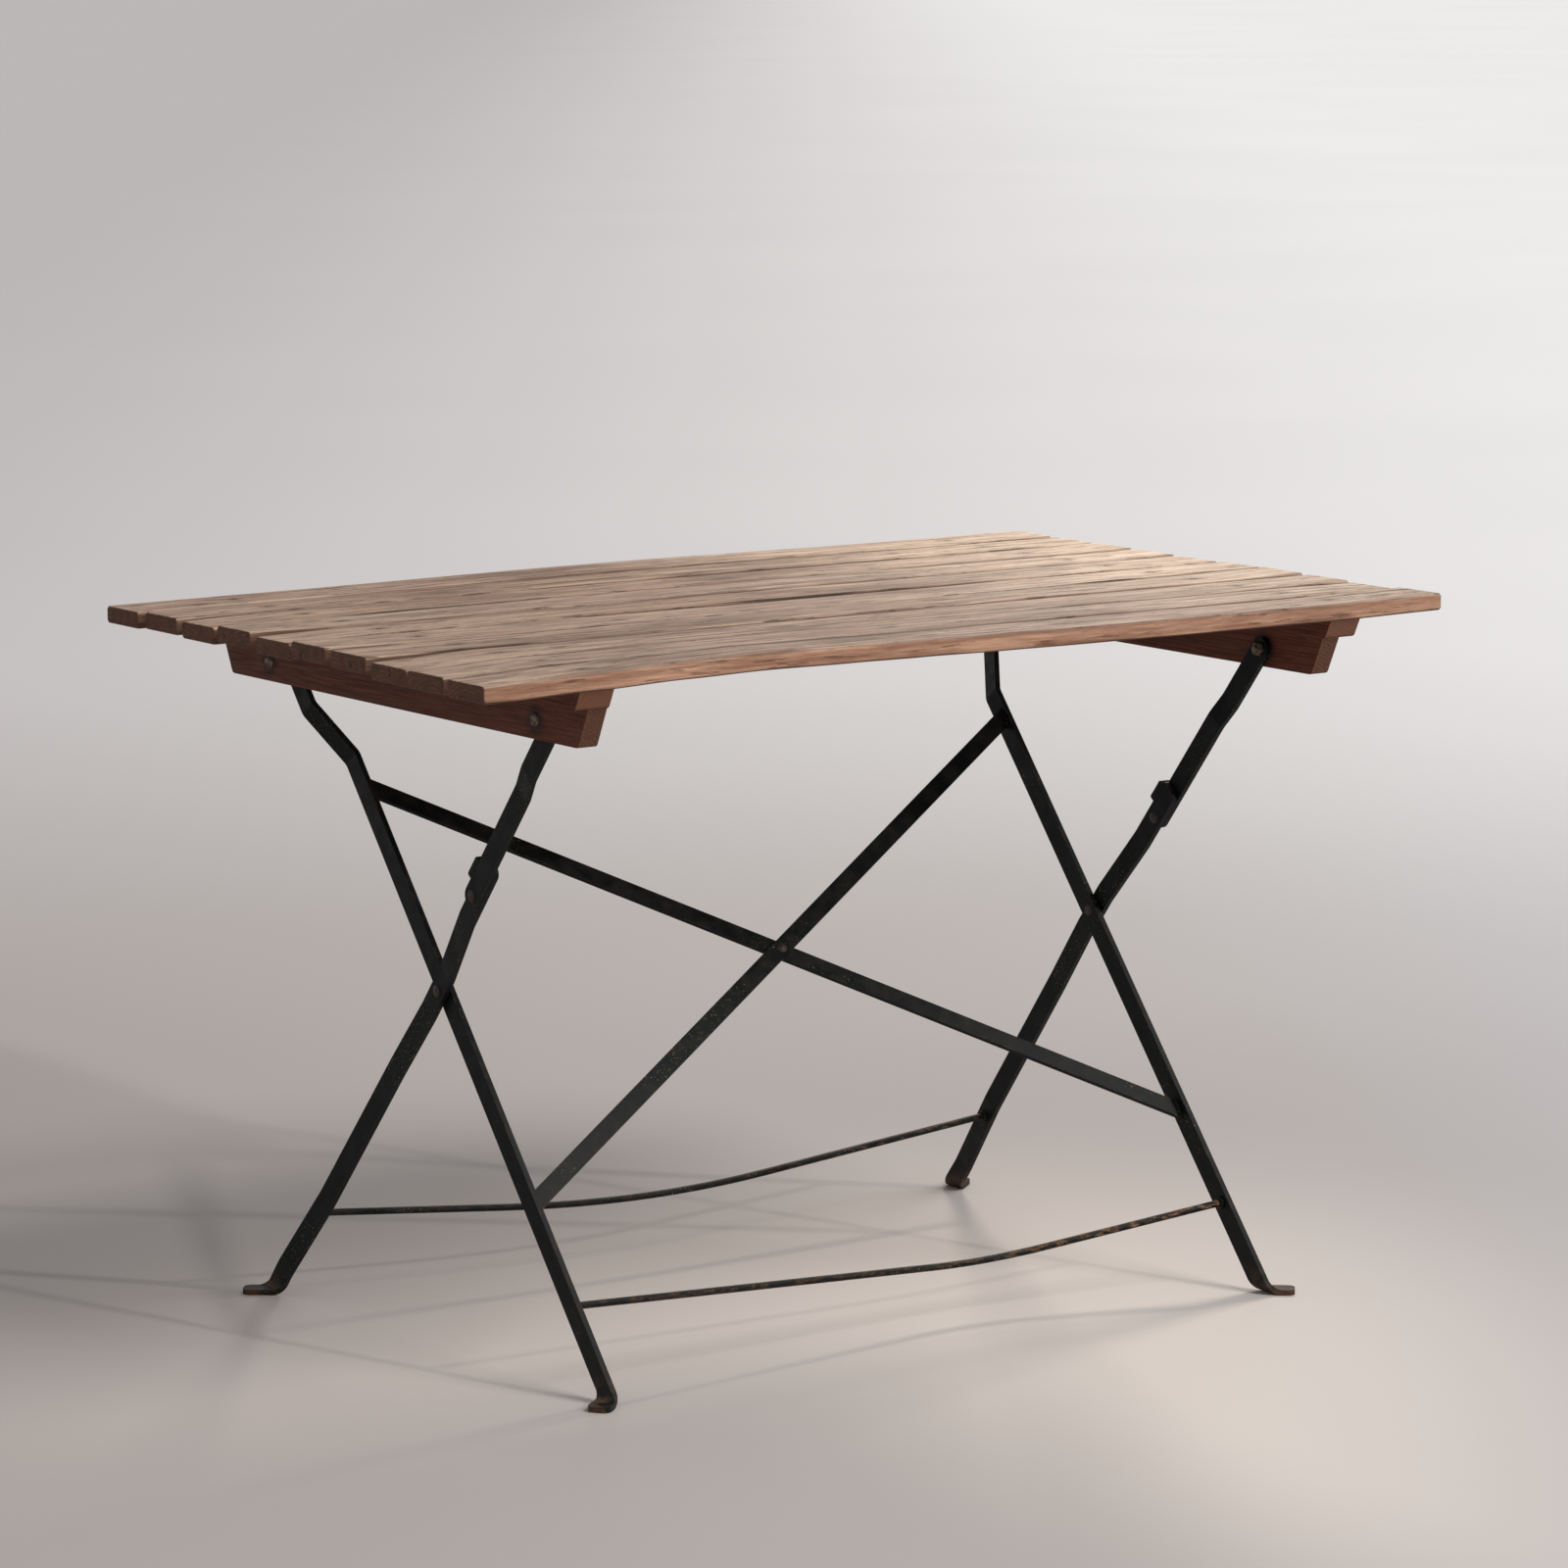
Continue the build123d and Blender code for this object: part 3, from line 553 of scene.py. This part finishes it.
# --- CAD nodes that stay -----------------------------------------------------
def dress(node, material, bevel=0.0, segments=3, angle=35):
    """Gives a CAD node its material, eased edges and smooth shading."""
    obj = nodes[node]
    obj.data.materials.clear()
    obj.data.materials.append(material)
    weld = obj.modifiers.new("weld", "WELD")
    weld.merge_threshold = 2e-5
    if bevel:
        flat = obj.modifiers.new("flat_faces", "DECIMATE")
        flat.decimate_type = "DISSOLVE"
        flat.angle_limit = math.radians(0.6)
        mod = obj.modifiers.new("eased", "BEVEL")
        mod.width = bevel
        mod.segments = segments
        mod.limit_method = "ANGLE"
        mod.angle_limit = math.radians(angle)
        mod.harden_normals = False
    obj.data.shade_smooth()
    normals = obj.modifiers.new("normals", "WEIGHTED_NORMAL")
    normals.keep_sharp = True


for side in ("left", "right"):
    dress(f"ledger_{side}", rail_mat, 1.2 * MM)
    dress(f"batten_{side}", rail_mat, 1.4 * MM)
    dress(f"slat_screws_{side}", screw_mat)
    dress(f"batten_screws_{side}", screw_mat)
    for name in ("a", "link"):
        dress(f"pivot_bolt_{name}_{side}", bolt_mat, 0.3 * MM)
        dress(f"pivot_nut_{name}_{side}", bolt_mat, 0.5 * MM, 2)
    for name in ("leg_a", "leg_b", "link"):
        dress(f"{name}_{side}", paint, 0.8 * MM)
    dress(f"scissor_rivet_{side}", rivet_mat, 0.25 * MM)
    dress(f"scissor_washer_{side}", paint, 0.1 * MM)
    dress(f"knuckle_rivet_inner_{side}", rivet_mat, 0.25 * MM)
    dress(f"knuckle_rivet_outer_{side}", rivet_mat, 0.25 * MM)
for name in ("brace_1", "brace_2"):
    dress(name, paint, 0.7 * MM)
dress("brace_rivet", rivet_mat, 0.3 * MM)
dress("brace_welds", paint)
for name in ("rod_a", "rod_b"):
    dress(name, rod_paint)
    dress(name + "_welds", paint)

# --- floor, light and camera -------------------------------------------------
def floor_material():
    g = Graph("floor_pale")
    cloud = g.noise(g.pos, (0.7, 0.7, 0.7), 2.0, 0.4)
    fine = g.noise(g.pos, (28, 28, 28), 4.0, 0.6)
    # painted light and shade along a fixed direction: the floor is darker to the left and paler to the
    # right
    across = g.vmath("DOT_PRODUCT", g.pos, (0.827, -0.562, 0.0))
    near = g.mix(g.step(cloud, 0.3, 0.7), srgb(189, 181, 177), srgb(193, 186, 182))
    near = g.mix(g.step(across, -1.6, 0.6), srgb(166, 158, 155), near)
    near = g.mix(g.step(across, 0.3, 1.3), near, srgb(198, 195, 196))
    away = g.mix(g.step(across, -3.0, 3.0), srgb(194, 190, 190), srgb(253, 252, 251))
    # painted light: the floor turns paler with distance
    far = g.step(g.vmath("LENGTH", g.pos), 0.9, 5.6)
    colour = g.mix(far, near, away)
    rough = g.step(cloud, 0.3, 0.7, 0.48, 0.54)
    return g.finish(colour, rough, g.bump(fine, 0.0004, 0.3), Specular_IOR_Level=0.25)


bm = bmesh.new()
bmesh.ops.create_grid(bm, x_segments=12, y_segments=12, size=90.0)
floor_mesh = bpy.data.meshes.new("floor")
bm.to_mesh(floor_mesh)
bm.free()
floor_mesh.materials.append(floor_material())
floor = bpy.data.objects.new("floor", floor_mesh)
bpy.context.scene.collection.objects.link(floor)

world = bpy.data.worlds.new("studio")
world.use_nodes = True
world.node_tree.nodes["Background"].inputs["Color"].default_value = (0.98, 0.985, 1.0, 1.0)
world.node_tree.nodes["Background"].inputs["Strength"].default_value = 0.42
bpy.context.scene.world = world
bpy.context.scene.view_settings.view_transform = "Standard"


def aim(obj, place, target):
    obj.location = place
    obj.rotation_mode = "QUATERNION"
    obj.rotation_quaternion = (Vector(target) - Vector(place)).to_track_quat("-Z", "Y")


def lamp(name, kind, energy, colour, place, target, **props):
    data = bpy.data.lights.new(name, kind)
    data.energy = energy
    data.color = colour
    for key, value in props.items():
        setattr(data, key, value)
    obj = bpy.data.objects.new(name, data)
    bpy.context.scene.collection.objects.link(obj)
    aim(obj, place, target)


lamp("key", "SUN", 1.8, (1.0, 0.975, 0.95), (2.4, -4.2, 5.6), (0, 0, 0),
     angle=math.radians(28))
lamp("low", "SUN", 0.8, (1.0, 0.96, 0.92), (2.1, -4.45, 2.4), (0, 0, 0),
     angle=math.radians(2))
lamp("side", "SPOT", 150.0, (1.0, 0.91, 0.79), (1.75, 1.35, 1.85), (0.55, 0.28, 0.745),
     spot_size=math.radians(38), spot_blend=1.0, shadow_soft_size=0.25)

YAW, PITCH, ROLL = -0.5971, 0.1517, -0.0043
EYE = Vector((-3.6215, -5.3365, 1.5345))
heading = Vector((-math.sin(YAW), math.cos(YAW), 0))
across = Vector((math.cos(YAW), math.sin(YAW), 0))
ahead = heading * math.cos(PITCH) - Vector((0, 0, math.sin(PITCH)))
upward = heading * math.sin(PITCH) + Vector((0, 0, math.cos(PITCH)))
right = across * math.cos(ROLL) + upward * math.sin(ROLL)
above = upward * math.cos(ROLL) - across * math.sin(ROLL)
camera_data = bpy.data.cameras.new("camera")
camera_data.lens = 141.75
camera_data.sensor_width = 36.0
camera_data.clip_start = 0.05
camera_data.clip_end = 400.0
camera = bpy.data.objects.new("camera", camera_data)
bpy.context.scene.collection.objects.link(camera)
turned = Matrix((right, above, -ahead)).transposed().to_4x4()
camera.matrix_world = Matrix.Translation(EYE) @ turned
bpy.context.scene.camera = camera
